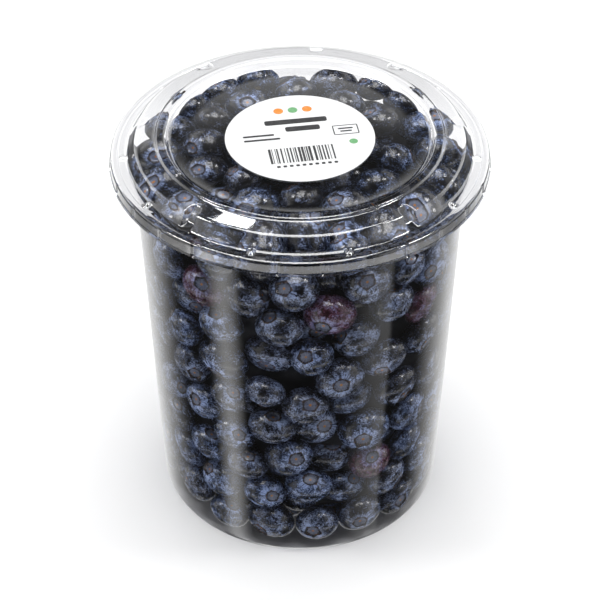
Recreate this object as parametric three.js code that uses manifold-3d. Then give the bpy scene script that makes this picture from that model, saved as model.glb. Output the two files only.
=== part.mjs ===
// A clear round plastic tub with a press-on lid, full of blueberries, and a round paper label on the lid.
// Millimetres, +Z up. The origin is the middle of the tub's foot, on the surface it stands on. The front faces -Y.
import * as THREE from "three";
import { mergeVertices } from "three/addons/utils/BufferGeometryUtils.js";
import Module from "manifold-3d";

const wasm = await Module();
wasm.setup();

// Plastic
const SHEET = 0.6; // thickness of the formed sheet
const AROUND = 36; // facets round the tub and the lid

// Tub, by the outer face of its sheet
const FOOT_RADIUS = 45.0; // where the wall would meet the ground if it had no curve
const MOUTH_RADIUS = 50.4; // at the underside of the flange
const FLANGE_TOP = 126.3;
const FLANGE_RADIUS = 55.6;
const FLANGE_DROP = 1.6; // how far the flange's edge turns down
const FOOT_CURVE = 3.6; // radius of the curve between wall and foot
const FOOT_WIDTH = 1.6; // the flat ring that the tub stands on
const BASE_RISE = 1.6; // how far the base is pushed up inside that ring
const RIB_COUNT = 14; // short upright ribs under the flange, which keep stacked tubs from jamming
const RIB_WIDTH = 2.8;
const RIB_STAND = 0.7;
const RIB_LENGTH = 9;
const RIB_SIDES = 6;

// Lid, by the upper face of its sheet
const SKIRT_RADIUS = 57.5; // the outermost edge of the whole pack
const SKIRT_BOTTOM = 123.5;
const RIM_OUTER = 56.9;
const RIM_INNER = 54.5;
const RIM_TOP = 127.6;
const GUTTER_TOP = 127.2; // floor of the gutter between the rim and the dome
const DOME_FOOT = 51.9;
const SHOULDER_RADIUS = 49.6;
const SHOULDER_TOP = 131.6;
const BEAD_OUTER = 43.0; // raised ring round the sunk panel
const BEAD_INNER = 40.2;
const BEAD_TOP = 133.2;
const PANEL_RADIUS = 39.4;
const PANEL_TOP = 130.9;
const EDGE_ROUND = 0.5; // cut on the edges of the rim, the bead and the shoulder
const RECESS_SIDE_ANGLES = [39, 99, 142]; // recesses in the dome's side, from the front to either side
const RECESS_BACK_ANGLE = 174; // and one more at the back
const RECESS_WIDTH = 4.4;
const RECESS_TOP = [47.7, 133.5]; // the two ends of a recess's axis, as [radius, height]
const RECESS_FOOT = [51.2, 129.5];
const RECESS_SIDES = 8;
const CATCH_SIDE_ANGLES = [15, 57, 84, 127];
const CATCH_RADIUS = 1.1;
const CATCH_SIDES = 6;
const CAP_STEPS = 2; // bands of facets in the round end of a rib, recess or catch

// Label
const LABEL_RADIUS = 22.5;
const LABEL_THICKNESS = 0.2;
const LABEL_GAP = 0.1; // adhesive between the label and the lid

// Berries
const BERRY_COUNT = 366;
const BERRY_RADIUS_MIN = 5.9;
const BERRY_RADIUS_MAX = 8.1;
const BERRY_SEED = 5;
const BERRY_CLEARANCE = 0.6; // from the berries to the plastic
const HEAP_DOME = 5; // how much lower the heap's top is at the wall than in its middle
const TOUCH = 0.97; // distance between touching berries, over the sum of their radii
const SETTLE_PASSES = 500;
const SINK = 0.04; // how far a berry sinks in the first pass
const RISE = 0.08; // how far one above RISE_FROM rises instead, so that the heap is tight under the lid
const RISE_FROM = 80;
const PUSH = 0.4; // share of an overlap that each of two berries gives way by in one pass
const NEIGHBOUR_PASSES = 10; // passes between searches for neighbours
const NEIGHBOUR_REACH = 4; // how far apart neighbours may be
const WALL_SHOW_DEPTH = 3; // a berry this near the wall shows
const LID_SHOW_DEPTH = 8.5; // and so does one this near the lid
const CORE_DEPTH = 9.2; // from the berries' space to the plain core behind those that show
const CORE_FACETS = 18;
const BERRY_SIDES = 6;
const BERRY_SHOULDER = 42; // degrees from a drawn berry's middle to the ring of edges on its outer half
const BERRY_TAIL = 1.25; // how far a drawn berry's hidden end runs into the core, in radii

const radians = (degrees) => (degrees * Math.PI) / 180;

// Outer face of the tub's wall at a height.
function wallRadius(z) {
  return FOOT_RADIUS + ((MOUTH_RADIUS - FOOT_RADIUS) * z) / FLANGE_TOP;
}

// Points of a circular arc between two angles in degrees, the first one left out.
function arc(centreR, centreZ, radius, from, to, steps) {
  return Array.from({ length: steps }, (_, i) => {
    const angle = radians(from + ((to - from) * (i + 1)) / steps);
    return [centreR + radius * Math.cos(angle), centreZ + radius * Math.sin(angle)];
  });
}

// The tub's outer face as [radius, height], from the middle of the base to the flange's edge.
function tubOutline() {
  const curveR = wallRadius(FOOT_CURVE) - FOOT_CURVE;
  const footInner = curveR - FOOT_WIDTH;
  const underFlange = FLANGE_TOP - SHEET;
  return [
    [0, BASE_RISE],
    [footInner - BASE_RISE, BASE_RISE],
    [footInner, 0],
    [curveR, 0],
    ...arc(curveR, FOOT_CURVE, FOOT_CURVE, -90, 0, 3),
    [MOUTH_RADIUS, underFlange],
    [FLANGE_RADIUS, underFlange],
    [FLANGE_RADIUS, underFlange - FLANGE_DROP],
  ];
}

// The lid's upper face as [radius, height], from its middle to the bottom of the skirt.
function lidOutline() {
  return [
    [0, PANEL_TOP],
    [PANEL_RADIUS, PANEL_TOP],
    [BEAD_INNER, BEAD_TOP - EDGE_ROUND],
    [BEAD_INNER + EDGE_ROUND, BEAD_TOP],
    [BEAD_OUTER - EDGE_ROUND, BEAD_TOP],
    [BEAD_OUTER, BEAD_TOP - EDGE_ROUND],
    [SHOULDER_RADIUS - EDGE_ROUND, SHOULDER_TOP],
    [SHOULDER_RADIUS, SHOULDER_TOP - EDGE_ROUND],
    [DOME_FOOT, GUTTER_TOP],
    [RIM_INNER - EDGE_ROUND, GUTTER_TOP],
    [RIM_INNER, RIM_TOP],
    [RIM_OUTER - EDGE_ROUND, RIM_TOP],
    [RIM_OUTER, RIM_TOP - EDGE_ROUND],
    [SKIRT_RADIUS, SKIRT_BOTTOM],
  ];
}

// A polyline moved sideways, to the left of its direction.
function offset(line, distance) {
  const left = (from, to) => {
    const length = Math.hypot(to[0] - from[0], to[1] - from[1]);
    return [(from[1] - to[1]) / length, (to[0] - from[0]) / length];
  };
  return line.map((point, i) => {
    const before = left(line[Math.max(i - 1, 0)], line[Math.max(i, 1)]);
    const after = left(line[Math.min(i, line.length - 2)], line[Math.min(i + 1, line.length - 1)]);
    const reach = distance / (1 + before[0] * after[0] + before[1] * after[1]);
    return [point[0] + reach * (before[0] + after[0]), point[1] + reach * (before[1] + after[1])];
  });
}

// Six times the volume inside an indexed triangle mesh: negative if its faces point in.
function signedVolume(positions, triangles) {
  const [a, b, c] = [new THREE.Vector3(), new THREE.Vector3(), new THREE.Vector3()];
  let sum = 0;
  for (let i = 0; i < triangles.length; i += 3) {
    a.fromArray(positions, 3 * triangles[i]);
    b.fromArray(positions, 3 * triangles[i + 1]);
    c.fromArray(positions, 3 * triangles[i + 2]);
    sum += a.dot(b.cross(c));
  }
  return sum;
}

// A closed three.js geometry as a solid, without the flat triangles that a lathe leaves on its axis.
function solid(geometry) {
  const bare = geometry.clone();
  bare.deleteAttribute("normal");
  bare.deleteAttribute("uv");
  const merged = mergeVertices(bare, 1e-4);
  const positions = merged.attributes.position.array;
  const triangles = [];
  for (let i = 0; i < merged.index.count; i += 3) {
    const corners = [0, 1, 2].map((k) => merged.index.getX(i + k));
    if (new Set(corners).size === 3) triangles.push(...corners);
  }
  if (signedVolume(positions, triangles) < 0) triangles.reverse();
  const mesh = new wasm.Mesh({
    numProp: 3,
    vertProperties: new Float32Array(positions),
    triVerts: new Uint32Array(triangles),
  });
  return new wasm.Manifold(mesh);
}

// A solid as a three.js geometry.
function geometryOf(body) {
  const mesh = body.getMesh();
  const geometry = new THREE.BufferGeometry();
  geometry.setAttribute("position", new THREE.BufferAttribute(mesh.vertProperties, 3));
  geometry.setIndex(new THREE.BufferAttribute(mesh.triVerts, 1));
  geometry.computeVertexNormals();
  return geometry;
}

// A closed [radius, height] profile turned round Z.
function turned(profile, facets = AROUND) {
  const points = profile.map(([r, z]) => new THREE.Vector2(r, z));
  points.push(points[0].clone());
  return solid(new THREE.LatheGeometry(points, facets).rotateX(Math.PI / 2));
}

// A capsule between two [radius, height] points, at an angle in degrees from the front.
function finger(angle, from, to, radius, sides) {
  const [run, rise] = [to[0] - from[0], to[1] - from[1]];
  const capsule = new THREE.CapsuleGeometry(radius, Math.hypot(run, rise), CAP_STEPS, sides);
  capsule.rotateZ(-Math.atan2(run, rise));
  capsule.translate((from[0] + to[0]) / 2, (from[1] + to[1]) / 2, 0);
  capsule.rotateX(Math.PI / 2);
  capsule.rotateZ(radians(angle - 90));
  return solid(capsule);
}

function joined(bodies) {
  return bodies.reduce((whole, body) => whole.add(body));
}

function toEitherSide(angles) {
  return angles.flatMap((angle) => [angle, -angle]);
}

// The tub: one thin sheet, with a flange round its mouth and ribs under the flange.
function makeTub() {
  const outer = tubOutline();
  const inner = offset(outer, SHEET);
  const ribTop = FLANGE_TOP - SHEET - RIB_WIDTH / 2;
  const ribEnds = [ribTop - RIB_LENGTH, ribTop].map((z) => [wallRadius(z) + RIB_STAND - RIB_WIDTH / 2, z]);
  const ribAngles = Array.from({ length: RIB_COUNT }, (_, i) => ((i + 0.5) * 360) / RIB_COUNT);
  const ribs = joined(ribAngles.map((angle) => finger(angle, ...ribEnds, RIB_WIDTH / 2, RIB_SIDES)));
  const mouth = inner.slice(0, inner.length - 2);
  const inside = turned([...mouth, [0, mouth[mouth.length - 1][1]]]);
  return turned([...outer, ...inner.reverse()]).add(ribs.subtract(inside));
}

// The space that the recesses round the dome take up, for a recess of that radius.
function recesses(radius) {
  const angles = [...toEitherSide(RECESS_SIDE_ANGLES), RECESS_BACK_ANGLE];
  return joined(angles.map((angle) => finger(angle, RECESS_TOP, RECESS_FOOT, radius, RECESS_SIDES)));
}

// The lid: one thin sheet, with recesses pushed into its dome and catches in its gutter.
function makeLid() {
  const top = lidOutline();
  const under = offset(top, -SHEET);
  const catches = joined(toEitherSide(CATCH_SIDE_ANGLES).map((angle) => finger(
    angle,
    [DOME_FOOT + CATCH_RADIUS / 2, GUTTER_TOP],
    [RIM_INNER - CATCH_RADIUS, GUTTER_TOP],
    CATCH_RADIUS,
    CATCH_SIDES,
  )));
  const skirtInner = under[under.length - 1][0];
  const below = SKIRT_BOTTOM - SHEET;
  const outside = turned([...top, [0, SKIRT_BOTTOM]]).subtract(recesses(RECESS_WIDTH / 2));
  const inside = turned([...under, [skirtInner, below], [0, below]]);
  return outside.add(catches).subtract(inside.subtract(recesses(RECESS_WIDTH / 2 + SHEET)));
}

// The label: a plain paper disc on the sunk panel.
function makeLabel() {
  const disc = new THREE.CylinderGeometry(LABEL_RADIUS, LABEL_RADIUS, LABEL_THICKNESS, AROUND);
  disc.rotateX(Math.PI / 2);
  disc.translate(0, 0, PANEL_TOP + LABEL_GAP + LABEL_THICKNESS / 2);
  return solid(disc);
}

// A linear congruential generator: the same numbers from 0 to 1 in every run.
function seeded(seed) {
  let state = seed;
  return () => {
    state = (state * 1664525 + 1013904223) % 4294967296;
    return state / 4294967296;
  };
}

// The space that the berries fill.
const heapFloor = BASE_RISE + SHEET + BERRY_CLEARANCE;
const heapTop = PANEL_TOP - SHEET - BERRY_CLEARANCE;
const heapCeiling = (r) => heapTop - HEAP_DOME * (r / MOUTH_RADIUS) ** 2;
const heapRadius = (z) => wallRadius(Math.min(z, FLANGE_TOP)) - SHEET - BERRY_CLEARANCE;

// Berries of mixed sizes, spread through the tub at random from the base to the lid.
function looseBerries() {
  const random = seeded(BERRY_SEED);
  return Array.from({ length: BERRY_COUNT }, (_, i) => {
    const size = (random() + random()) / 2;
    const angle = 2 * Math.PI * random();
    const z = heapFloor + ((heapTop - heapFloor) * (i + 0.5)) / BERRY_COUNT;
    const away = (heapRadius(z) - BERRY_RADIUS_MIN) * Math.sqrt(random());
    return {
      radius: BERRY_RADIUS_MIN + (BERRY_RADIUS_MAX - BERRY_RADIUS_MIN) * size,
      place: [away * Math.cos(angle), away * Math.sin(angle), z],
    };
  });
}

function gap(a, b) {
  const apart = Math.hypot(...a.place.map((value, k) => value - b.place[k]));
  return apart - TOUCH * (a.radius + b.radius);
}

// All pairs of berries that could touch in the next few passes.
function neighbours(berries) {
  return berries.flatMap((a, i) => (
    berries.slice(i + 1).filter((b) => gap(a, b) < NEIGHBOUR_REACH).map((b) => [a, b])
  ));
}

// Pushes each overlapping pair apart, all pairs at once.
function makeRoom(pairs) {
  const moves = pairs.map(([a, b]) => {
    const overlap = Math.max(0, -gap(a, b));
    const between = b.place.map((value, k) => value - a.place[k]);
    return between.map((d) => (d * PUSH * overlap) / Math.hypot(...between));
  });
  pairs.forEach(([a, b], i) => {
    moves[i].forEach((move, k) => {
      a.place[k] -= move;
      b.place[k] += move;
    });
  });
}

// Keeps a berry inside the tub and under the lid.
function confine({ place, radius }) {
  const away = Math.hypot(place[0], place[1]);
  place[2] = Math.min(Math.max(place[2], heapFloor + radius), heapCeiling(away) - radius);
  const shrink = Math.min(1, (heapRadius(place[2]) - radius) / away);
  place[0] *= shrink;
  place[1] *= shrink;
}

// The berries as they lie once they have spread a little, down and up, and pushed each other aside.
function settledBerries() {
  const berries = looseBerries();
  let pairs = [];
  for (let pass = 0; pass < SETTLE_PASSES; pass++) {
    if (pass % NEIGHBOUR_PASSES === 0) pairs = neighbours(berries);
    makeRoom(pairs);
    for (const berry of berries) {
      const drift = berry.place[2] > RISE_FROM ? RISE : -SINK;
      berry.place[2] += drift * (1 - pass / SETTLE_PASSES);
      confine(berry);
    }
  }
  return berries;
}

// Whether a berry lies against the wall or under the lid, where it shows.
function shows({ place: [x, y, z], radius }) {
  const away = Math.hypot(x, y);
  const toWall = heapRadius(z) - away - radius;
  const toLid = heapCeiling(away) - z - radius;
  return toWall < WALL_SHOW_DEPTH || toLid < LID_SHOW_DEPTH;
}

// One berry with few sides. Its full half faces out of the heap, and its other end runs into the core.
function berryBody({ place, radius }) {
  const shoulder = radians(BERRY_SHOULDER);
  const profile = [
    [0, -BERRY_TAIL * radius],
    [radius, 0],
    [radius * Math.cos(shoulder), radius * Math.sin(shoulder)],
    [0, radius],
  ];
  const middleTop = heapTop - heapRadius(heapTop);
  const outward = new THREE.Vector3(place[0], place[1], Math.max(0, place[2] - middleTop)).normalize();
  const turn = new THREE.Quaternion().setFromUnitVectors(new THREE.Vector3(0, 0, 1), outward);
  const points = profile.map(([r, z]) => new THREE.Vector2(r, z));
  const ball = new THREE.LatheGeometry(points, BERRY_SIDES).rotateX(Math.PI / 2);
  return solid(ball.applyQuaternion(turn).translate(...place));
}

// The heap: the berries that show, fused to a plain core.
function makeBerries() {
  const bottom = heapFloor + CORE_DEPTH / 2;
  const top = heapTop - CORE_DEPTH;
  const edge = heapRadius(top) - CORE_DEPTH;
  const core = turned([
    [0, bottom],
    [heapRadius(bottom) - CORE_DEPTH, bottom],
    [edge, heapCeiling(edge) - CORE_DEPTH],
    [0, top],
  ], CORE_FACETS);
  return joined([core, ...settledBerries().filter(shows).map(berryBody)]);
}

function piece(name, body, colour, roughness, opacity = 1) {
  const material = new THREE.MeshStandardMaterial({ color: colour, roughness, metalness: 0 });
  material.opacity = opacity;
  material.transparent = opacity < 1;
  const mesh = new THREE.Mesh(geometryOf(body), material);
  mesh.name = name;
  return mesh;
}

const punnet = new THREE.Group();
punnet.add(
  piece("tub", makeTub(), "#eef1f2", 0.08, 0.25),
  piece("lid", makeLid(), "#eef1f2", 0.08, 0.25),
  piece("label", makeLabel(), "#fbfbfb", 0.55),
  piece("berries", makeBerries(), "#2b3350", 0.6),
);

export default punnet;
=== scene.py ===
"""A shut, clear plastic tub of blueberries with a round label on its lid, on a white table."""
import math

import bmesh
import bpy
import numpy as np
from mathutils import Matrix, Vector


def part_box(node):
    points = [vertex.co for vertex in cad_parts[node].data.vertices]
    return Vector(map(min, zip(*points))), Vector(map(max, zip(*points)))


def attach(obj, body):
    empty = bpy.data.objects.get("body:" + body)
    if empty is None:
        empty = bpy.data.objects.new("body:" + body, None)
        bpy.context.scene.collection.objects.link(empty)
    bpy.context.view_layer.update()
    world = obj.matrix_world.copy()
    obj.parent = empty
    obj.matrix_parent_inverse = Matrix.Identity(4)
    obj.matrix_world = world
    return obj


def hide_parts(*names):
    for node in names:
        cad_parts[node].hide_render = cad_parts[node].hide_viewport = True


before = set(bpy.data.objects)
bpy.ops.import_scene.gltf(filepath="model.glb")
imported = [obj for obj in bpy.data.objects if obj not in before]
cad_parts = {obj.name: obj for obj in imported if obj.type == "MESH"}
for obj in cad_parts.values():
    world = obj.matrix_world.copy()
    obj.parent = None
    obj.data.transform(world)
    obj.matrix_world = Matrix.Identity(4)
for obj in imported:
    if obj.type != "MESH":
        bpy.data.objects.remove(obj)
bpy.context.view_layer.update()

MM = 0.001  # sizes below are in millimetres

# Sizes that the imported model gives
tub_box = [np.array(corner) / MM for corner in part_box("tub")]
lid_box = [np.array(corner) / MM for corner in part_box("lid")]
label_box = [np.array(corner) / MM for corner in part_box("label")]
SKIRT_RADIUS = lid_box[1][0]
SKIRT_BOTTOM = lid_box[0][2]
BEAD_TOP = lid_box[1][2]
FLANGE_TOP = tub_box[1][2]
LABEL_RADIUS = label_box[1][0]
LABEL_BOTTOM = label_box[0][2]
LABEL_TOP = label_box[1][2]

# Plastic, as in the solids
SHEET = 0.6
FOOT_RADIUS = 45.0
MOUTH_RADIUS = 50.4
FLANGE_RADIUS = tub_box[1][0] - SHEET
FLANGE_DROP = 1.6
UNDER_FLANGE = FLANGE_TOP - SHEET
FOOT_CURVE = 3.6
FOOT_WIDTH = 1.6
BASE_RISE = 1.6
RIB_COUNT = 14
RIB_WIDTH = 2.8
RIB_STAND = 0.7
RIB_LENGTH = 9.0
RIBS_ABOVE = 60.0  # no rib reaches below this height
WALL_WAVE = 0.05  # how far the formed wall waves in and out
WAVES_BEGIN = (6, 20)  # heights between which the waves grow
WAVES_END = (108, 118)
RIM_OUTER = 56.9
RIM_INNER = 54.5
RIM_TOP = 127.6
GUTTER_TOP = 127.2
DOME_FOOT = 51.9
SHOULDER_RADIUS = 49.6
SHOULDER_TOP = 131.6
BEAD_OUTER = 43.0
BEAD_INNER = 40.2
PANEL_RADIUS = 39.4
PANEL_TOP = LABEL_BOTTOM - 0.1
RECESS_ANGLES = [39, -39, 99, -99, 142, -142, 174]
RECESS_WIDTH = 4.4
RECESS_TOP = 45.9  # radius of a recess's inner end
RECESS_BACK = (49.4, 128.0)  # where its back wall meets its floor, as radius and height
RECESS_BACK_SHARE = 0.62  # how far along the recess that is
RECESS_ROUND_SHARE = 0.26  # how much of its length the round end takes
RECESS_EDGE = 0.36  # how soft its sides are
CATCH_ANGLES = [15, -15, 57, -57, 84, -84, 127, -127]
CATCH_RADIUS = 53.0  # where the catches' middles are
CATCH_REACH = 1.4
CATCH_WIDTH = 2.2
CATCH_HEIGHT = 0.9
SKIRT_LIP = 0.45  # how far the skirt's lower edge flares out
CRIMP_COUNT = 28
CRIMP_WIDTH = 1.5
CRIMP_DEPTH = 0.3
SHARP_ANGLE = 50  # edges that turn by more than this stay sharp

# Berries, poured by the same rule as in the solids
BERRY_COUNT = 366
BERRY_RADIUS_MIN = 5.9
BERRY_RADIUS_MAX = 8.1
BERRY_SEED = 5
BERRY_CLEARANCE = 0.6
HEAP_DOME = 5.0
TOUCH = 0.97
SETTLE_PASSES = 500
SINK = 0.04
RISE = 0.08
RISE_FROM = 80.0
PUSH = 0.4
NEIGHBOUR_PASSES = 10
NEIGHBOUR_REACH = 4.0
BERRY_FLATNESS = 0.88
CROWN_STRAY = 0.95  # how far crowns stray from facing straight out
CROWNS_UP_FROM = 70.0  # above this height they face up as well
CROWNS_UP = 0.8
LID_SHADE = 0.9  # how much less bloom the berries under the lid get, which darkens them: painted shade on the top of the heap
LID_SHADE_DEPTH = 20.0
LOOK_SEED = 21
LOBE_SEED = 5

# The core, measured in from the berries' outer bounds
CORE_DEPTH = 12.0
CORE_ABOVE_BASE = 8.0
CORE_BELOW_LID = 17.0
CORE_CORNER = 8.0
CORE_SIDES = 96
CORE_LUMP = 0.8

# The berries nearest to these places are reddish
RED_SPOTS = [(-31, -27, 103), (10, -40, 90), (14, -36, 36), (36, -20, 95)]

# A berry shows well up to these distances from the tub, and between others up to the next two
FRONT_TO_WALL = 4.5
FRONT_TO_LID = 14
FRONT_TO_BASE = 3
BEHIND_TO_WALL = 16
BEHIND_TO_LID = 24
DUSKY_SHARE = 0.45  # of the berries in front

# The photo's camera
PHOTO_WIDTH = 600
FOCAL_PIXELS = 2148.9
CAMERA_DISTANCE = 682.2
CAMERA_ELEVATION = 39.1
TARGET_HEIGHT = 68.45
SENSOR_WIDTH = 36.0


def smoothstep(low, high, value):
    t = np.clip((value - low) / (high - low), 0, 1)
    return t * t * (3 - 2 * t)


def wall_radius(z):
    """Outer face of the tub's wall at a height."""
    return FOOT_RADIUS + (MOUTH_RADIUS - FOOT_RADIUS) * z / FLANGE_TOP


# Meshes


def mesh_object(name, points, faces, sharp_angle=SHARP_ANGLE):
    """A smooth-shaded object from points in millimetres."""
    mesh = bpy.data.meshes.new(name)
    mesh.from_pydata((np.asarray(points) * MM).tolist(), [], faces)
    mesh.validate()
    mesh.shade_smooth()
    mesh.set_sharp_from_angle(angle=math.radians(sharp_angle))
    made = bpy.data.objects.new(name, mesh)
    bpy.context.scene.collection.objects.link(made)
    return made


def grid_faces(rows, columns, closed=False):
    """Quads over a grid of rows by columns, whose last column meets the first if closed."""
    faces = []
    for i in range(rows - 1):
        for j in range(columns if closed else columns - 1):
            k = (j + 1) % columns
            faces.append((i * columns + j, i * columns + k, (i + 1) * columns + k, (i + 1) * columns + j))
    return faces


def unit(vector):
    return vector / np.linalg.norm(vector)


def rounded(line, radius, step=math.radians(14)):
    """The polyline with its corners turned into arcs."""
    line = [np.array(point, float) for point in line]
    path = [line[0]]
    for before, corner, after in zip(line, line[1:], line[2:]):
        into = unit(corner - before)
        out = unit(after - corner)
        turn = math.acos(np.clip(into @ out, -1, 1))
        cut = min(
            radius * math.tan(turn / 2),
            0.48 * np.linalg.norm(corner - before),
            0.48 * np.linalg.norm(after - corner),
        )
        bend = cut / math.tan(turn / 2)
        inward = unit(out - (out @ into) * into)
        centre = corner - into * cut + inward * bend
        for angle in np.linspace(0, turn, max(2, math.ceil(turn / step)) + 1):
            path.append(centre + bend * (into * math.sin(angle) - inward * math.cos(angle)))
    path.append(line[-1])
    return path


def subdivided(path, longest, plain_radius=0.0):
    """The polyline with points added along its long stretches, but few of them inside the plain radius."""
    points = []
    for start, end in zip(path, path[1:]):
        step = longest if end[0] > plain_radius else 8 * longest
        count = max(1, math.ceil(np.linalg.norm(end - start) / step))
        points += [start + (end - start) * k / count for k in range(count)]
    return np.array(points + [path[-1]])


def offset(line, distance):
    """The polyline moved sideways, to the left of its direction."""
    steps = np.diff(line, axis=0)
    steps /= np.linalg.norm(steps, axis=1)[:, None]
    left = np.stack([-steps[:, 1], steps[:, 0]], 1)
    before = np.concatenate([left[:1], left])
    after = np.concatenate([left, left[-1:]])
    reach = distance / (1 + (before * after).sum(1))
    return line + reach[:, None] * (before + after)


def turns_with(features, width, extra, even=144):
    """Angles in degrees all round, with more of them across each feature."""
    angles = [np.arange(even) * 360 / even]
    angles += [centre + np.linspace(-width, width, extra) for centre in features]
    return np.unique(np.round(np.concatenate(angles) % 360, 3))


def across(angles, centres, radius, width):
    """Per angle, the distance from the nearest centre along the circle, in half widths."""
    turn = (angles[:, None] - np.asarray(centres)[None, :] + 180) % 360 - 180
    nearest = np.abs(turn).min(1)
    return np.radians(nearest)[:, None] * radius[None, :] / (width / 2)


def turned_surface(name, out, up, angles):
    """A surface round Z from its radii and heights, with one row for each angle."""
    turn = np.radians(angles)[:, None]
    points = np.stack([out * np.sin(turn), -out * np.cos(turn), up], 2)
    rows, columns = points.shape[:2]
    faces = grid_faces(columns, rows, closed=True)
    made = mesh_object(name, points.transpose(1, 0, 2).reshape(-1, 3), faces)
    tidy_mesh(made)
    return made


def formed_sheet(name, outline, thickness, angles, relief, corner, longest, plain_radius):
    """A thin sheet turned round Z, with relief that moves both of its faces alike."""
    path = subdivided(rounded(outline, corner), longest, plain_radius)
    other = offset(path, thickness)
    section = np.concatenate([path, other[::-1]])
    move_out, move_up = relief(angles, path)
    move_out = np.concatenate([move_out, move_out[:, ::-1]], 1)
    move_up = np.concatenate([move_up, move_up[:, ::-1]], 1)
    out = np.where(section[None, :, 0] > 1e-6, section[None, :, 0] + move_out, 0)
    return turned_surface(name, out, section[None, :, 1] + move_up, angles)


def tidy_mesh(made):
    """Joins the points that meet on the axis and turns all faces out."""
    work = bmesh.new()
    work.from_mesh(made.data)
    bmesh.ops.remove_doubles(work, verts=work.verts, dist=1e-7)
    bmesh.ops.dissolve_degenerate(work, edges=work.edges, dist=1e-8)
    bmesh.ops.recalc_face_normals(work, faces=work.faces)
    work.to_mesh(made.data)
    work.free()
    made.data.set_sharp_from_angle(angle=math.radians(SHARP_ANGLE))


# The tub and the lid


def tub_outline():
    """The tub's outer face, from the middle of the base to the flange's edge."""
    curve_r = wall_radius(FOOT_CURVE) - FOOT_CURVE
    foot_inner = curve_r - FOOT_WIDTH
    curve = [
        (curve_r + FOOT_CURVE * math.sin(a), FOOT_CURVE - FOOT_CURVE * math.cos(a))
        for a in np.linspace(0, math.pi / 2, 9)
    ]
    return [
        (0, BASE_RISE),
        (foot_inner - BASE_RISE, BASE_RISE),
        (foot_inner, 0),
        *curve,
        (MOUTH_RADIUS, UNDER_FLANGE),
        (FLANGE_RADIUS, UNDER_FLANGE),
        (FLANGE_RADIUS, UNDER_FLANGE - FLANGE_DROP),
    ]


def spaced_round(count):
    """Angles in degrees of that many things set evenly round."""
    return (np.arange(count) + 0.5) * 360 / count


def tub_relief(angles, path):
    """Upright ribs under the flange, and the slight waves of a formed wall."""
    taper = np.clip((path[:, 1] - (UNDER_FLANGE - RIB_LENGTH - 2)) / RIB_LENGTH, 0.02, 1)
    side = np.clip(1 - across(angles, spaced_round(RIB_COUNT), path[:, 0], RIB_WIDTH * taper) ** 2, 0, 1)
    ends = taper * (path[:, 0] < MOUTH_RADIUS + 0.3) * (path[:, 1] > RIBS_ABOVE)
    turn = np.radians(angles)[:, None]
    height = path[None, :, 1]
    waves = np.sin(3 * turn + height / 23) + 0.7 * np.sin(7 * turn - height / 15 + 1)
    on_wall = smoothstep(*WAVES_BEGIN, path[:, 1]) * (1 - smoothstep(*WAVES_END, path[:, 1]))
    out = RIB_STAND * side * ends[None, :] + WALL_WAVE * waves * on_wall[None, :]
    return out, np.zeros_like(side)


def make_tub():
    angles = turns_with(spaced_round(RIB_COUNT), 2.4, 13)
    return formed_sheet(
        "tub_shell", tub_outline(), SHEET, angles, tub_relief,
        corner=1.2, longest=2.0, plain_radius=36,
    )


def lid_outline():
    """The lid's upper face, from its middle to the bottom of the skirt."""
    return [
        (0, PANEL_TOP),
        (PANEL_RADIUS, PANEL_TOP),
        (BEAD_INNER, BEAD_TOP),
        (BEAD_OUTER, BEAD_TOP),
        (BEAD_OUTER + 0.5, BEAD_TOP - 0.7),
        (SHOULDER_RADIUS, SHOULDER_TOP),
        (DOME_FOOT, GUTTER_TOP),
        (RIM_INNER, GUTTER_TOP),
        (RIM_INNER + 0.3, RIM_TOP),
        (RIM_OUTER, RIM_TOP),
        (SKIRT_RADIUS - SKIRT_LIP, SKIRT_BOTTOM + SKIRT_LIP),
        (SKIRT_RADIUS, SKIRT_BOTTOM),
    ]


def recess_form(angles, path):
    """Recesses in the dome's side, each with a back wall, a short floor and a round upper end."""
    r, z = path[:, 0], path[:, 1]
    steps = np.linalg.norm(np.diff(path, axis=0), axis=1)
    along = np.concatenate([[0], np.cumsum(steps)])
    start = np.interp(RECESS_TOP, r, along)
    end = along[np.argmax((r > SHOULDER_RADIUS) & (z < GUTTER_TOP + 0.02))]
    share = np.clip((along - start) / (end - start), 0, 1)
    ends = [[np.interp(at, along, line) for at in (start, end)] for line in (r, z)]
    target = [
        np.interp(share, [0, RECESS_BACK_SHARE, 1], [first, back, last])
        for (first, last), back in zip(ends, RECESS_BACK)
    ]
    width = RECESS_WIDTH * np.sqrt(1 - np.clip(1 - share / RECESS_ROUND_SHARE, 0, 0.995) ** 2)
    depth = smoothstep(0, RECESS_EDGE, 1 - across(angles, RECESS_ANGLES, r, width))
    inside = (share > 0) & (share < 1)
    return depth * inside * (target[0] - r), depth * inside * (target[1] - z)


def lid_relief(angles, path):
    """Recesses round the dome, catches in the gutter and crimps in the skirt."""
    r, z = path[:, 0], path[:, 1]
    recess_out, recess_up = recess_form(angles, path)
    catch = np.clip(1 - across(angles, CATCH_ANGLES, r, CATCH_WIDTH) ** 2, 0, 1)
    catch_reach = np.clip(1 - ((r - CATCH_RADIUS) / CATCH_REACH) ** 2, 0, 1) * (z < GUTTER_TOP + 0.6)
    crimp = np.clip(1 - across(angles, spaced_round(CRIMP_COUNT), r, CRIMP_WIDTH) ** 2, 0, 1)
    crimp_reach = (r > RIM_OUTER - 0.3) * smoothstep(SKIRT_BOTTOM - 0.2, SKIRT_BOTTOM + 0.6, z)
    out = recess_out - CRIMP_DEPTH * crimp * crimp_reach
    up = recess_up + CATCH_HEIGHT * catch * catch_reach
    return out, up


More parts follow.
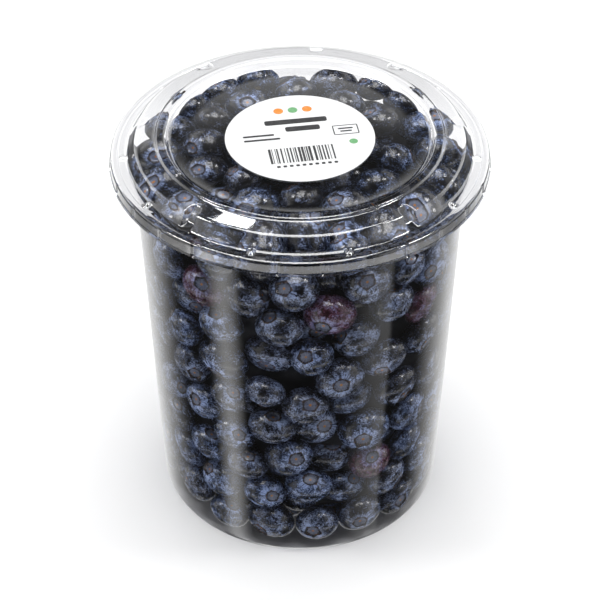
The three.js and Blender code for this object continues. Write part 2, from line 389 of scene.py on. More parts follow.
def make_lid():
    recesses = turns_with(RECESS_ANGLES, 2.9, 23)
    catches = turns_with(CATCH_ANGLES, 1.5, 9)
    crimps = turns_with(spaced_round(CRIMP_COUNT), 1.0, 7)
    angles = np.unique(np.concatenate([recesses, catches, crimps]))
    return formed_sheet(
        "lid_shell", lid_outline(), -SHEET, angles, lid_relief,
        corner=1.5, longest=0.6, plain_radius=PANEL_RADIUS,
    )


# Berries: where they lie


def seeded(seed):
    """The same numbers from 0 to 1 in every run."""
    state = seed
    while True:
        state = (state * 1664525 + 1013904223) % 4294967296
        yield state / 4294967296


HEAP_FLOOR = BASE_RISE + SHEET + BERRY_CLEARANCE
HEAP_TOP = PANEL_TOP - SHEET - BERRY_CLEARANCE


def heap_ceiling(away):
    return HEAP_TOP - HEAP_DOME * (away / MOUTH_RADIUS) ** 2


def heap_radius(z):
    return wall_radius(np.minimum(z, FLANGE_TOP)) - SHEET - BERRY_CLEARANCE


def loose_berries():
    """Berries of mixed sizes, spread through the tub at random from the base to the lid."""
    draw = seeded(BERRY_SEED)
    places, radii = [], []
    for i in range(BERRY_COUNT):
        size = (next(draw) + next(draw)) / 2
        angle = 2 * math.pi * next(draw)
        z = HEAP_FLOOR + (HEAP_TOP - HEAP_FLOOR) * (i + 0.5) / BERRY_COUNT
        away = (heap_radius(z) - BERRY_RADIUS_MIN) * math.sqrt(next(draw))
        radii.append(BERRY_RADIUS_MIN + (BERRY_RADIUS_MAX - BERRY_RADIUS_MIN) * size)
        places.append((away * math.cos(angle), away * math.sin(angle), z))
    return np.array(places), np.array(radii)


def settled_berries():
    """The berries as they lie once they have spread, down and up, and pushed each other aside."""
    places, radii = loose_berries()
    first, second = np.triu_indices(BERRY_COUNT, 1)
    touching = TOUCH * (radii[first] + radii[second])
    for step in range(SETTLE_PASSES):
        if step % NEIGHBOUR_PASSES == 0:
            apart = np.linalg.norm(places[first] - places[second], axis=1)
            near = apart - touching < NEIGHBOUR_REACH
            a, b, reach = first[near], second[near], touching[near]
        between = places[b] - places[a]
        apart = np.linalg.norm(between, axis=1)
        moves = between * (PUSH * np.maximum(0, reach - apart) / apart)[:, None]
        np.add.at(places, b, moves)
        np.add.at(places, a, -moves)
        drift = np.where(places[:, 2] > RISE_FROM, RISE, -SINK)
        places[:, 2] += drift * (1 - step / SETTLE_PASSES)
        away = np.hypot(places[:, 0], places[:, 1])
        places[:, 2] = np.minimum(np.maximum(places[:, 2], HEAP_FLOOR + radii), heap_ceiling(away) - radii)
        places[:, :2] *= np.minimum(1, (heap_radius(places[:, 2]) - radii) / away)[:, None]
    return places, radii


# Berries: their form

CROWN_RADIUS = 0.32  # in berry radii
CROWN_DEPTH = 0.10
RIDGE_HEIGHT = 0.045
STEM_RADIUS = 0.2
LOBES = 5
LOBE_STEPS = 5  # rows of points along a lobe
LOBE_ACROSS = 5  # points in each row


def berry_points(berry, rings, sides):
    """Points of one berry with its crown up, ring by ring from the crown to the stem."""
    theta = rings[:, None]
    phi = np.linspace(0, 2 * math.pi, sides, endpoint=False)[None, :]
    away = np.sin(theta) * np.ones_like(phi)
    two, three = berry["lumps"]
    lumps = 1 + 0.022 * np.sin(2 * phi + two) * away + 0.014 * np.sin(3 * phi + three) * away
    up = berry["flatness"] * np.cos(theta) * np.ones_like(phi)
    top = np.cos(theta) > 0
    crown = berry["crown_radius"]
    lobes = 0.6 + 0.4 * np.cos(LOBES * phi + berry["lobe_turn"])
    up = up - top * CROWN_DEPTH * (1 - smoothstep(crown * 0.72, crown, away))
    up = up + top * RIDGE_HEIGHT * lobes * np.exp(-(((away - crown * 1.08) / 0.06) ** 2))
    up = up - top * 0.03 * np.exp(-((away / 0.62) ** 2))
    up = up + ~top * 0.09 * np.exp(-((away / STEM_RADIUS) ** 2))
    points = np.stack([away * lumps * np.cos(phi), away * lumps * np.sin(phi), up], 2)
    return points.reshape(-1, 3) * berry["radius"]


def turned_to(direction, spin):
    """A rotation that takes +Z to a direction, after a spin about Z."""
    turn = Vector((0, 0, 1)).rotation_difference(Vector(direction)).to_matrix()
    c, s = math.cos(spin), math.sin(spin)
    return np.array(turn) @ np.array([[c, -s, 0], [s, c, 0], [0, 0, 1]])


def ring_angles(*stretches):
    """Angles from a berry's crown to its stem, in radians, with both ends almost closed."""
    return np.radians(np.concatenate([[0.01], *stretches, [179.99]]))


FINE_RINGS = ring_angles(np.linspace(5, 30, 12), np.linspace(38, 170, 14))
FINE_SIDES = 30
COARSE_RINGS = ring_angles(np.linspace(12, 168, 9))
COARSE_SIDES = 18


def keep_on_points(made, **attributes):
    """Keeps lists of vectors, one for each point, as attributes that the materials read."""
    for name, values in attributes.items():
        layer = made.data.attributes.new(name, "FLOAT_VECTOR", "POINT")
        layer.data.foreach_set("vector", np.concatenate(values).astype(np.float32).ravel())


def joined_berries(name, berries, rings, sides):
    """One mesh of many berries, with each point's place on its own berry kept as an attribute."""
    points, faces, skin, mood = [], [], [], []
    quads = np.array(grid_faces(len(rings), sides, closed=True))
    for berry in berries:
        local = berry_points(berry, rings, sides)
        faces.append(quads + len(points) * len(local))
        points.append(local @ turned_to(berry["crown"], berry["spin"]).T + berry["place"])
        skin.append(local / berry["radius"])
        mood.append(np.tile(berry["mood"], (len(local), 1)))
    made = mesh_object(name, np.concatenate(points), np.concatenate(faces).tolist(), sharp_angle=180)
    keep_on_points(made, skin=skin, mood=mood)
    return made


def lobe_points(berry, turn, size):
    """One of the crown's lobes: a small curled leaf, upper face first and then the lower one."""
    crown = berry["crown_radius"]
    base_up = berry["flatness"] * math.sqrt(1 - crown**2)
    rows = []
    for face in (1, -1):
        for s in np.linspace(0, 1, LOBE_STEPS):
            lean = 0.9 - 1.3 * s
            away = crown * 0.98 + size * (0.55 * s + 0.25 * s * s)
            up = base_up + RIDGE_HEIGHT * 0.2 + size * 0.75 * math.sin(lean) * s + size * 0.35 * s
            width = 0.62 * crown * (1 - s**1.6) + 0.012
            for t in np.linspace(-1, 1, LOBE_ACROSS):
                angle = turn + t * width / away * 0.9
                cup = -0.03 * t * t
                thick = face * 0.014 * (1 - 0.6 * s)
                rows.append((away * math.cos(angle), away * math.sin(angle), up + cup + thick))
    return np.array(rows) * berry["radius"]


def lobe_faces():
    """Faces of a lobe: its two sides and the strips that close them."""
    upper = grid_faces(LOBE_STEPS, LOBE_ACROSS)
    shift = LOBE_STEPS * LOBE_ACROSS
    lower = [tuple(reversed([i + shift for i in face])) for face in upper]
    rim = list(range(LOBE_ACROSS))
    rim += [k * LOBE_ACROSS + LOBE_ACROSS - 1 for k in range(1, LOBE_STEPS)]
    rim += [(LOBE_STEPS - 1) * LOBE_ACROSS + i for i in range(LOBE_ACROSS - 2, -1, -1)]
    rim += [k * LOBE_ACROSS for k in range(LOBE_STEPS - 2, 0, -1)]
    closing = [(b, a, a + shift, b + shift) for a, b in zip(rim, rim[1:] + rim[:1])]
    return upper + lower + closing


def make_lobes(name, berries):
    """The lobes of all crowns as one mesh."""
    draw = np.random.default_rng(LOBE_SEED)
    faces_of_one = np.array(lobe_faces())
    along = np.tile(np.repeat(np.linspace(0, 1, LOBE_STEPS), LOBE_ACROSS), 2)
    points, faces, skin, mood = [], [], [], []
    for berry in berries:
        turn_matrix = turned_to(berry["crown"], berry["spin"])
        for k in range(LOBES):
            size = 0.09 + 0.08 * draw.random()
            turn = (2 * math.pi * k - berry["lobe_turn"]) / LOBES + 0.25 * (draw.random() - 0.5)
            local = lobe_points(berry, turn, size)
            faces.append(faces_of_one + len(points) * len(local))
            points.append(local @ turn_matrix.T + berry["place"])
            skin.append(np.column_stack([along, local[:, :2] / berry["radius"]]))
            mood.append(np.tile(berry["mood"], (len(local), 1)))
    made = mesh_object(name, np.concatenate(points), np.concatenate(faces).tolist(), sharp_angle=70)
    keep_on_points(made, skin=skin, mood=mood)
    return made


def described_berries():
    """Every berry, with its crown's direction, its form, its look and its distances from the tub."""
    places, radii = settled_berries()
    draw = np.random.default_rng(LOOK_SEED)
    berries = []
    for place, radius in zip(places, radii):
        wild = draw.normal(size=3)
        out = np.array([place[0], place[1], max(0, place[2] - CROWNS_UP_FROM) * CROWNS_UP])
        crown = unit(unit(out) + unit(wild) * CROWN_STRAY)
        away = math.hypot(place[0], place[1])
        # Berries under the lid get less bloom, so they are darker: painted shade on the top of the heap.
        rubbed = LID_SHADE * (place[2] > HEAP_TOP - LID_SHADE_DEPTH)
        berries.append({
            "place": place,
            "radius": radius,
            "crown": crown,
            "spin": 2 * math.pi * draw.random(),
            "lumps": 2 * math.pi * draw.random(2),
            "flatness": BERRY_FLATNESS * (0.96 + 0.08 * draw.random()),
            "crown_radius": CROWN_RADIUS * (0.88 + 0.24 * draw.random()),
            "lobe_turn": 6 * draw.random(),
            "mood": draw.random(3) - [rubbed, 0, 0],
            "to_wall": heap_radius(place[2]) - away - radius,
            "to_lid": heap_ceiling(away) - place[2] - radius,
            "to_base": place[2] - radius - HEAP_FLOOR,
        })
    return berries


def berry_groups(berries):
    """All in front, then those by colour, as pale, dusky and red, and the ones that show between them."""
    in_front = [
        b for b in berries
        if b["to_wall"] < FRONT_TO_WALL or b["to_lid"] < FRONT_TO_LID or b["to_base"] < FRONT_TO_BASE
    ]
    front_ids = {id(b) for b in in_front}
    behind = [
        b for b in berries
        if id(b) not in front_ids and (b["to_wall"] < BEHIND_TO_WALL or b["to_lid"] < BEHIND_TO_LID)
    ]
    red = [min(in_front, key=lambda b: np.linalg.norm(b["place"] - spot)) for spot in RED_SPOTS]
    red_ids = {id(b) for b in red}
    blue = [b for b in in_front if id(b) not in red_ids]
    pale = [b for b in blue if b["mood"][1] > DUSKY_SHARE]
    dusky = [b for b in blue if b["mood"][1] <= DUSKY_SHARE]
    return in_front, pale, dusky, red, behind


def make_core():
    """A dark shape in the middle of the heap, behind the berries that show: painted shade that stands in
    for the berries lying in shadow there.
    """
    bottom = HEAP_FLOOR + CORE_ABOVE_BASE
    top = HEAP_TOP - CORE_BELOW_LID
    outline = [
        (0, bottom),
        (heap_radius(bottom) - CORE_DEPTH, bottom),
        (heap_radius(top) - CORE_DEPTH, top),
        (0, top),
    ]
    path = subdivided(rounded(outline, CORE_CORNER), 3)
    angles = np.arange(CORE_SIDES) * 360 / CORE_SIDES
    turn = np.radians(angles)[:, None]
    lumps = CORE_LUMP * np.sin(9 * turn + path[None, :, 1] / 4) * (path[None, :, 0] > 5)
    out = path[None, :, 0] + lumps
    return turned_surface("heap_core", out, path[None, :, 1] * np.ones_like(out), angles)


# Materials


class Shader:
    """The node tree of a material or of the world, built call by call."""

    def __init__(self, owner):
        self.owner = owner
        owner.use_nodes = True
        self.tree = owner.node_tree
        self.tree.nodes.clear()

    def feed(self, socket, value):
        if isinstance(value, bpy.types.NodeSocket):
            self.tree.links.new(value, socket)
        elif hasattr(value, "__len__") and len(value) == 3 and socket.type == "RGBA":
            socket.default_value = (*value, 1)
        else:
            socket.default_value = value

    def node(self, kind, inputs=None, **settings):
        made = self.tree.nodes.new("ShaderNode" + kind)
        for key, value in settings.items():
            setattr(made, key, value)
        for key, value in (inputs or {}).items():
            self.feed(made.inputs[key], value)
        return made

    def attribute(self, name):
        return self.node("Attribute", attribute_name=name).outputs["Vector"]

    def parts(self, vector):
        return self.node("SeparateXYZ", {"Vector": vector}).outputs

    def joined(self, x, y, z):
        return self.node("CombineXYZ", {0: x, 1: y, 2: z}).outputs[0]

    def math(self, operation, *values, clamp=False):
        inputs = dict(enumerate(values))
        return self.node("Math", inputs, operation=operation, use_clamp=clamp).outputs[0]

    def plus(self, first, *others):
        for other in others:
            first = self.math("ADD", first, other)
        return first

    def times(self, first, *others):
        for other in others:
            first = self.math("MULTIPLY", first, other)
        return first

    def less(self, first, second):
        return self.math("SUBTRACT", first, second)

    def vector(self, operation, *values):
        return self.node("VectorMath", dict(enumerate(values)), operation=operation).outputs[0]

    def noise(self, vector, scale, detail=4, roughness=0.55, distortion=0.0):
        inputs = {
            "Vector": vector,
            "Scale": scale,
            "Detail": detail,
            "Roughness": roughness,
            "Distortion": distortion,
        }
        return self.node("TexNoise", inputs).outputs["Fac"]

    def step(self, value, low, high, first=0.0, last=1.0):
        """A smooth step from first, at low, to last, at high."""
        inputs = {"Value": value, "From Min": low, "From Max": high, "To Min": first, "To Max": last}
        return self.node("MapRange", inputs, interpolation_type="SMOOTHSTEP").outputs["Result"]

    def mix(self, share, first, second):
        return self.node("Mix", {0: share, 6: first, 7: second}, data_type="RGBA").outputs[2]

    def bump(self, height, strength, distance):
        return self.node("Bump", {"Height": height, "Strength": strength, "Distance": distance}).outputs[0]

    def principled(self, inputs):
        return self.node("BsdfPrincipled", inputs).outputs[0]

    def finish(self, surface, output="OutputMaterial"):
        self.node(output, {"Surface": surface})
        return self.owner


def new_material(name):
    return Shader(bpy.data.materials.new(name))


SHEET_INDEX = 1.38  # how strongly the sheet bends what is seen through it
GLOSS_INDEX = 1.55  # how strongly it mirrors
TWO_FACES = 2.4  # how much its second face and its formed waves lift faint mirroring


def clear_plastic():
    """Clear plastic that mirrors on its outer side, bends light and lets the lamps shine through."""
    s = new_material("clear_plastic")
    place = s.node("TexCoord").outputs["Object"]
    ripple = s.bump(s.noise(place, 90, 2), 0.03, 0.0002)
    bent = s.node("BsdfRefraction", {
        "Color": (0.985, 0.987, 0.99),
        "Roughness": 0.0,
        "IOR": SHEET_INDEX,
        "Normal": ripple,
    }).outputs[0]
    straight = s.node("BsdfTransparent", {"Color": (0.6, 0.6, 0.6)}).outputs[0]
    gloss = s.node("BsdfGlossy", {"Color": (1, 1, 1), "Roughness": 0.03, "Normal": ripple}).outputs[0]
    fresnel = s.node("Fresnel", {"IOR": GLOSS_INDEX, "Normal": ripple}).outputs[0]
    inner_side = s.node("NewGeometry").outputs["Backfacing"]
    caught = s.times(s.step(fresnel, 0.3, 0.8), inner_side)
    clear = s.node("MixShader", {0: caught, 1: bent, 2: straight}).outputs[0]
    both_faces = s.math("DIVIDE", s.times(fresnel, 1 + TWO_FACES), s.plus(s.times(fresnel, TWO_FACES), 1))
    share = s.math("MULTIPLY", both_faces, s.less(1, inner_side), clamp=True)
    seen = s.node("MixShader", {0: share, 1: clear, 2: gloss}).outputs[0]
    through = s.node("BsdfTransparent", {"Color": (0.96, 0.96, 0.965)}).outputs[0]
    rays = s.node("LightPath").outputs
    for kind in ("Is Glossy Ray", "Is Diffuse Ray", "Is Shadow Ray"):
        seen = s.node("MixShader", {0: rays[kind], 1: seen, 2: through}).outputs[0]
    return s.finish(seen)


# A skin's ground, the bloom on its duskiest and its bluest berries, and the brightest flecks
SKINS = {
    "skin_blue": [
        (0.004, 0.004, 0.006), (0.055, 0.070, 0.123), (0.053, 0.087, 0.190), (0.44, 0.57, 0.94),
    ],
    "skin_dark": [
        (0.005, 0.0045, 0.0055), (0.051, 0.058, 0.092), (0.050, 0.072, 0.142), (0.38, 0.49, 0.79),
    ],
    "skin_red": [
        (0.036, 0.008, 0.014), (0.13, 0.040, 0.065), (0.11, 0.045, 0.085), (0.29, 0.33, 0.62),
    ],
}


def berry_skin(name, ground, dusk, bloom, bright):
    """Dark skin under a waxy bloom, mottled all over and drawn into streaks round the crown."""
    s = new_material(name)
    skin = s.attribute("skin")
    x, y, z = s.parts(skin)
    amount, hue, seed = s.parts(s.attribute("mood"))
    away = s.math("SQRT", s.plus(s.times(x, x), s.times(y, y)))
    shift = s.joined(s.times(seed, 91), s.times(hue, 57), seed)
    moved = s.vector("ADD", skin, shift)
    mottle = s.noise(moved, 7.5, 8, 0.70, 1.6)
    patches = s.noise(moved, 1.8, 3, 0.5, 0.4)
    rubbed = s.noise(moved, 17, 5, 0.65, 1.2)
    near_crown = s.times(s.step(away, 0.80, 0.3), s.step(z, 0.0, 0.4))
    pull = s.times(near_crown, s.less(streak_noise(s, x, y, z, away, shift), 0.45))
    wax = s.plus(
        mottle,
        s.times(s.less(patches, 0.5), 0.5),
        s.times(pull, 1.4),
        s.times(s.less(amount, 0.5), 0.06),
    )
    cover = s.step(wax, 0.43, 0.58)
    shine = s.step(s.plus(s.times(wax, 0.65), s.times(rubbed, 0.35)), 0.52, 0.63)
    colour = s.mix(s.times(cover, 0.95), ground, s.mix(hue, dusk, bloom))
    colour = s.mix(s.times(shine, 0.9), colour, bright)
    colour = with_crown(s, colour, moved, z, away, bright)
    scar = s.times(s.step(away, 0.17, 0.11), s.step(z, -0.3, -0.5))
    colour = s.mix(scar, colour, (0.12, 0.095, 0.06))
    return s.finish(s.principled({
        "Base Color": colour,
        "Roughness": s.step(cover, 0, 1, 0.20, 0.28),
        "Specular IOR Level": 1.0,
        "Sheen Weight": 0.16,
        "Sheen Roughness": 0.25,
        "Sheen Tint": (0.62, 0.74, 1.0),
        "Normal": s.bump(s.noise(moved, 4.0, 2), 0.08, 0.0004),
    }))


def streak_noise(s, x, y, z, away, shift):
    """Noise drawn out into lines that run from the crown to the stem."""
    safe = s.math("MAXIMUM", away, 0.02)
    round_x = s.math("DIVIDE", x, safe)
    round_y = s.math("DIVIDE", y, safe)
    meridian = s.joined(round_x, round_y, s.times(z, 0.35))
    return s.noise(s.vector("ADD", meridian, shift), 5.0, 5, 0.68, 0.45)


def with_crown(s, colour, moved, z, away, bright):
    """Adds the crater's floor, its thin ragged dark edge, which is partly the calyx's own colour and
    partly painted shade in the groove, and the dot in its middle.
    """
    ragged = s.times(s.less(s.noise(moved, 12, 4, 0.65), 0.5), 0.26)
    reach = s.plus(away, ragged)
    on_top = s.step(z, 0.2, 0.4)
    halo = s.times(s.step(reach, CROWN_RADIUS * 1.8, CROWN_RADIUS * 1.2), on_top)
    colour = s.mix(s.times(halo, 0.30), colour, bright)
    # The near-black edge is partly the calyx's own dark colour and partly painted shade in the groove at
    # the crater's rim.
    edge = s.times(s.step(reach, CROWN_RADIUS * 1.14, CROWN_RADIUS * 1.05), on_top)
    brown = s.mix(s.step(s.noise(moved, 17, 3), 0.55, 0.63), (0.004, 0.003, 0.005), (0.24, 0.10, 0.045))
    colour = s.mix(edge, colour, brown)
    floor = s.mix(s.noise(moved, 14, 4), (0.06, 0.075, 0.12), (0.25, 0.29, 0.42))
    inside = s.times(s.step(reach, CROWN_RADIUS * 0.90, CROWN_RADIUS * 0.80), on_top)
    colour = s.mix(inside, colour, floor)
    dot = s.times(s.step(away, 0.075, 0.04), on_top)
    return s.mix(dot, colour, (0.50, 0.20, 0.03))


def lobe_material():
    """Crown lobes: dark at the root, brown and papery at the tips."""
    s = new_material("crown_lobe")
    along, x, y = s.parts(s.attribute("skin"))
    where = s.joined(s.times(x, 9), s.times(y, 9), along)
    veins = s.noise(where, 2.5, 4, 0.6, 0.5)
    root = s.mix(veins, (0.006, 0.006, 0.008), (0.04, 0.04, 0.055))
    tip = s.mix(veins, (0.015, 0.010, 0.009), (0.14, 0.075, 0.04))
    colour = s.mix(s.step(s.plus(along, s.times(veins, 0.8)), 0.8, 1.3), root, tip)
    return s.finish(s.principled({
        "Base Color": colour,
        "Roughness": 0.62,
        "Normal": s.bump(veins, 0.3, 0.0003),
    }))


def core_material():
    s = new_material("heap_shade")
    place = s.node("TexCoord").outputs["Object"]
    patches = s.noise(place, 60, 4)
    # Near-black colour: painted shade for the hidden, shadowed berries deep in the heap.
    colour = s.mix(patches, (0.004, 0.004, 0.007), (0.02, 0.022, 0.035))
    return s.finish(s.principled({
        "Base Color": colour,
        "Roughness": 0.7,
        "Normal": s.bump(patches, 0.5, 0.002),
    }))


def paper_material():
    s = new_material("label_paper")
    place = s.node("TexCoord").outputs["Object"]
    fibres = s.noise(place, 900, 4, 0.6)
    clouds = s.noise(place, 40, 3)
    colour = s.mix(s.times(clouds, 0.5), (0.77, 0.775, 0.78), (0.74, 0.75, 0.76))
    return s.finish(s.principled({
        "Base Color": colour,
        "Roughness": s.step(fibres, 0.3, 0.7, 0.36, 0.46),
        "Normal": s.bump(fibres, 0.05, 0.00005),
    }))


def ink_material(name, colour, faded):
    s = new_material(name)
    place = s.node("TexCoord").outputs["Object"]
    wear = s.noise(place, 1400, 3, 0.6)
    shade = s.mix(s.step(wear, 0.45, 0.75, 0.0, 0.6), colour, faded)
    return s.finish(s.principled({"Base Color": shade, "Roughness": s.step(wear, 0.3, 0.7, 0.4, 0.5)}))


def table_material():
    s = new_material("table_white")
    place = s.node("TexCoord").outputs["Object"]
    clouds = s.noise(place, 3, 3)
    colour = s.mix(clouds, (0.96, 0.96, 0.96), (0.98, 0.98, 0.98))
    return s.finish(s.principled({"Base Color": colour, "Roughness": 0.7}))


# The label's print


def slab(outline, low, high, points, faces):
    """Adds a flat plate with that outline to a mesh under way."""
    start = len(points)
    count = len(outline)
    points += [(x, y, low) for x, y in outline] + [(x, y, high) for x, y in outline]
    faces.append(tuple(start + i for i in reversed(range(count))))
    faces.append(tuple(start + count + i for i in range(count)))
    for i in range(count):
        j = (i + 1) % count
        faces.append((start + i, start + j, start + count + j, start + count + i))


def rounded_box(x, y, width, height, radius, steps=5):
    """The outline of a rectangle with round corners, about its middle."""
    outline = []
    for k, (sx, sy) in enumerate([(1, -1), (1, 1), (-1, 1), (-1, -1)]):
        for a in np.linspace(-90, 0, steps) + 90 * k:
            outline.append((
                x + sx * (width / 2 - radius) + radius * math.cos(math.radians(a)),
                y + sy * (height / 2 - radius) + radius * math.sin(math.radians(a)),
            ))
    return outline


def disc(x, y, radius, steps=40):
    return [
        (x + radius * math.cos(a), y + radius * math.sin(a))
        for a in np.linspace(0, 2 * math.pi, steps, endpoint=False)
    ]


PRINT_TURN = 9.0  # degrees that the label is turned to the left
INK = 0.03  # thickness of the print
LABEL_EDGE = 0.06  # radius of the paper's edge
BAR_SEED = 8
BAR_STEP = 0.24  # the thinnest bar or gap


def print_piece(name, outlines, material):
    points, faces = [], []
    for outline in outlines:
        slab(outline, LABEL_TOP + 0.001, LABEL_TOP + INK, points, faces)
    turn = math.radians(PRINT_TURN)
    points = np.array(points)
    x = points[:, 0] * math.cos(turn) - points[:, 1] * math.sin(turn)
    y = points[:, 0] * math.sin(turn) + points[:, 1] * math.cos(turn)
    made = mesh_object(name, np.stack([x, y, points[:, 2]], 1), faces, sharp_angle=30)
    made.data.materials.append(material)
    return made


def bar_pattern(left, right, low, high):
    """Upright bars of a few widths, drawn by a fixed rule."""
    draw = np.random.default_rng(BAR_SEED)
    bars, x = [], left
    while x < right - 0.5:
        width = BAR_STEP * draw.integers(1, 4)
        bars.append([(x, low), (x + width, low), (x + width, high), (x, high)])
        x += width + BAR_STEP * draw.integers(1, 4)
    return bars


def frame_strips(x, y, width, height, line):
    """Four strips that frame a rectangle."""
    return [
        rounded_box(x, y + height / 2, width, line, line / 2.2),
        rounded_box(x, y - height / 2, width, line, line / 2.2),
        rounded_box(x - width / 2, y, line, height, line / 2.2),
        rounded_box(x + width / 2, y, line, height, line / 2.2),
    ]


def make_label():
    """The paper disc with its soft edge, and the print on it."""
    outline = [(0, LABEL_BOTTOM), (LABEL_RADIUS, LABEL_BOTTOM), (LABEL_RADIUS, LABEL_TOP), (0, LABEL_TOP)]
    path = np.array(rounded(outline, LABEL_EDGE))
    angles = np.arange(128) * 360 / 128
    all_round = np.ones((len(angles), 1))
    made = turned_surface("label_disc", path[None, :, 0] * all_round, path[None, :, 1] * all_round, angles)
    made.data.materials.append(paper_material())
    words = [
        rounded_box(0, 8.6, 19, 2.5, 0.7),
        rounded_box(1.5, 4.6, 10.5, 2.5, 0.7),
        rounded_box(-12.2, 2.4, 9.5, 0.9, 0.4),
        rounded_box(-11.4, 0.2, 11, 0.9, 0.4),
        rounded_box(14.2, 2.6, 4.6, 0.7, 0.3),
        rounded_box(14.2, 1.2, 3.6, 0.7, 0.3),
    ]
    words += frame_strips(14.2, 1.9, 7.4, 4.6, 0.35)
    words += bar_pattern(-10.5, 9.5, -12.5, -5.0)
    words += [rounded_box(x, -14.2, 1.1, 1.0, 0.3) for x in np.arange(-8.5, 8.6, 1.9)]
    black = ink_material("label_black", (0.03, 0.03, 0.032), (0.10, 0.10, 0.10))
    orange = ink_material("label_orange", (0.85, 0.24, 0.04), (0.90, 0.40, 0.18))
    green = ink_material("label_green", (0.14, 0.36, 0.16), (0.30, 0.50, 0.30))
    return [
        made,
        print_piece("label_print", words, black),
        print_piece("label_warm_dots", [disc(-4.4, 14.6, 1.5), disc(4.4, 14.6, 1.5)], orange),
        print_piece("label_green_dots", [disc(0, 14.6, 1.5), disc(15.5, -4.5, 1.3)], green),
    ]


# The scene


TABLE_REACH = 3000  # from the middle to each side


def make_table():
    corners = [(-1, -1), (1, -1), (1, 1), (-1, 1)]
    points = [(x * TABLE_REACH, y * TABLE_REACH, 0) for x, y in corners]
    table = mesh_object("table", points, [(0, 1, 2, 3)])
    table.data.materials.append(table_material())
    table.visible_glossy = False
    return table


TUB_MIDDLE = (0, 0, 0.09)  # in metres, like all places of lamps


def softbox(name, place, aim, width, height, radiance):
    """A rectangular lamp that faces a point, in metres."""
    data = bpy.data.lights.new(name, "AREA")
    data.shape = "RECTANGLE"
    data.size = width
    data.size_y = height
    data.energy = radiance * math.pi * width * height
    lamp = bpy.data.objects.new(name, data)
    bpy.context.scene.collection.objects.link(lamp)
    lamp.location = place
    lamp.rotation_mode = "QUATERNION"
    lamp.rotation_quaternion = (Vector(aim) - Vector(place)).to_track_quat("-Z", "Y")
    lamp.visible_camera = False
    return lamp


def make_lights():
    softbox("side_left", (-0.64, 0.0, 0.95), TUB_MIDDLE, 0.22, 0.22, 15.0)
    softbox("side_right", (0.64, 0.0, 0.95), TUB_MIDDLE, 0.22, 0.22, 15.0)
    softbox("overhead", (0, 0.05, 1.4), TUB_MIDDLE, 0.8, 1.2, 4.6)
    softbox("spot_behind", (-0.17, 0.71, 1.10), (0, 0, 0.13), 0.11, 0.055, 20.0)
    fill = softbox("fill", (0, -0.6, 1.4), TUB_MIDDLE, 0.6, 0.6, 1.5)
    fill.visible_glossy = False


def light_below(s, x, y, z):
    """Bands below the table's edge, which the wall, the foot, the skirt and the lid's edges mirror."""
    bearing = s.times(s.math("ARCTAN2", x, s.times(y, -1)), 180 / math.pi)
    left_card = s.times(s.step(bearing, -74, -58), s.step(bearing, -58, -42, 1, 0), 0.9)
    right_card = s.times(s.step(bearing, 34, 66), s.step(bearing, 69, 74, 1, 0), 0.25)
    around = s.times(
        s.step(z, -0.63, -0.56, 0, 1.2),
        s.step(y, -0.6, 0.4, 1.0, 0.3),
        s.step(z, -0.40, -0.34, 1.0, 0.1),
    )
    straight_down = s.step(z, -0.94, -0.98, 0, 1.1)
    behind = s.times(s.step(y, 0.1, 0.75, 0.02, 0.85), s.step(z, -0.54, -0.48, 1.0, 0.1))
    return s.plus(around, straight_down, behind, left_card, right_card)


def light_above(s, x, y, z):
    """Grey at both sides and overhead, and a bright sweep behind with a gap in its middle."""
    aside = s.math("ABSOLUTE", x)
    beside = s.step(aside, 0.45, 0.85, 0, 0.7)
    gap = s.math("MAXIMUM", s.step(aside, 0.15, 0.3), s.step(z, 0.533, 0.545))
    sweep = s.times(s.step(y, 0.0, 0.4), s.step(z, 0.52, 0.58, 1.0, 0.0), gap)
    overhead = s.step(z, 0.45, 1.0, 0.0, 0.22)
    return s.plus(beside, sweep, overhead)


def make_world():
    """A dim studio: grey above, and below the table's edge what the plastic's walls reflect."""
    world = bpy.data.worlds.new("studio")
    bpy.context.scene.world = world
    s = Shader(world)
    x, y, z = s.parts(s.node("TexCoord").outputs["Generated"])
    above = s.step(z, -0.02, 0.02)
    strength = s.plus(
        s.times(light_above(s, x, y, z), above),
        s.times(light_below(s, x, y, z), s.less(1.0, above)),
    )
    s.finish(s.node("Background", {"Color": (1, 1, 1), "Strength": strength}).outputs[0], "OutputWorld")


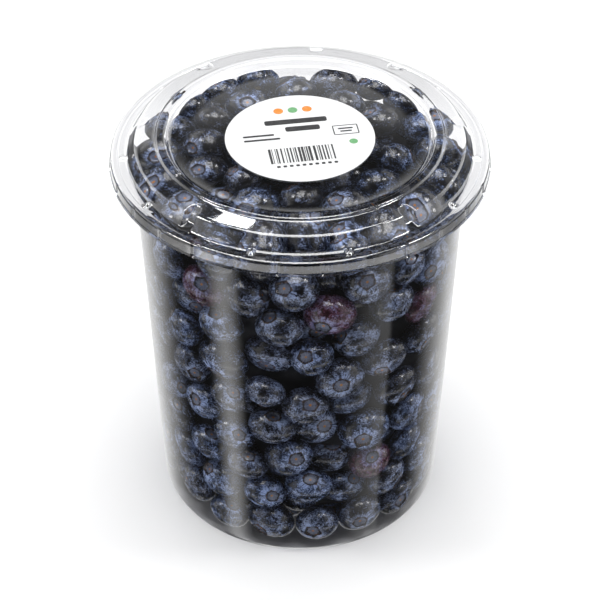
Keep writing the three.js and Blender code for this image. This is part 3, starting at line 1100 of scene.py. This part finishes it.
def make_camera():
    data = bpy.data.cameras.new("camera")
    data.sensor_width = SENSOR_WIDTH
    data.lens = SENSOR_WIDTH * FOCAL_PIXELS / PHOTO_WIDTH
    camera = bpy.data.objects.new("camera", data)
    bpy.context.scene.collection.objects.link(camera)
    raised = math.radians(CAMERA_ELEVATION)
    away = CAMERA_DISTANCE * MM
    target = Vector((0, 0, TARGET_HEIGHT * MM))
    camera.location = target + Vector((0, -away * math.cos(raised), away * math.sin(raised)))
    camera.rotation_mode = "QUATERNION"
    camera.rotation_quaternion = (target - camera.location).to_track_quat("-Z", "Y")
    bpy.context.scene.camera = camera


def place_piece(piece, slot, *nodes):
    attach(piece, "root")
    if nodes:
        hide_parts(*nodes)


def place_pack():
    """The tub, the lid, and the label with its print."""
    plastic = clear_plastic()
    tub = make_tub()
    lid = make_lid()
    for shell, node in ((tub, "tub"), (lid, "lid")):
        shell.data.materials.append(plastic)
        place_piece(shell, "clear_plastic", node)
    label, *printed = make_label()
    place_piece(label, "label_paper", "label")
    for piece in printed:
        place_piece(piece, "label_paper")


def place_berries():
    """The berries in their groups, their crown lobes, and the core behind them."""
    in_front, pale, dusky, red, behind = berry_groups(described_berries())
    skins = {name: berry_skin(name, *colours) for name, colours in SKINS.items()}
    for name, group, skin, rings, sides in (
        ("berries_blue", pale, "skin_blue", FINE_RINGS, FINE_SIDES),
        ("berries_dark", dusky, "skin_dark", FINE_RINGS, FINE_SIDES),
        ("berries_red", red, "skin_red", FINE_RINGS, FINE_SIDES),
        ("berries_behind", behind, "skin_dark", COARSE_RINGS, COARSE_SIDES),
    ):
        made = joined_berries(name, group, rings, sides)
        made.data.materials.append(skins[skin])
        tidy_mesh(made)
        place_piece(made, "berry_skin", "berries")
    for made, material in (
        (make_lobes("crown_lobes", in_front), lobe_material()),
        (make_core(), core_material()),
    ):
        made.data.materials.append(material)
        place_piece(made, "berry_skin", "berries")


def build():
    make_camera()
    place_pack()
    place_berries()
    make_table()
    make_lights()
    make_world()
    bpy.context.scene.view_settings.view_transform = "Standard"


build()
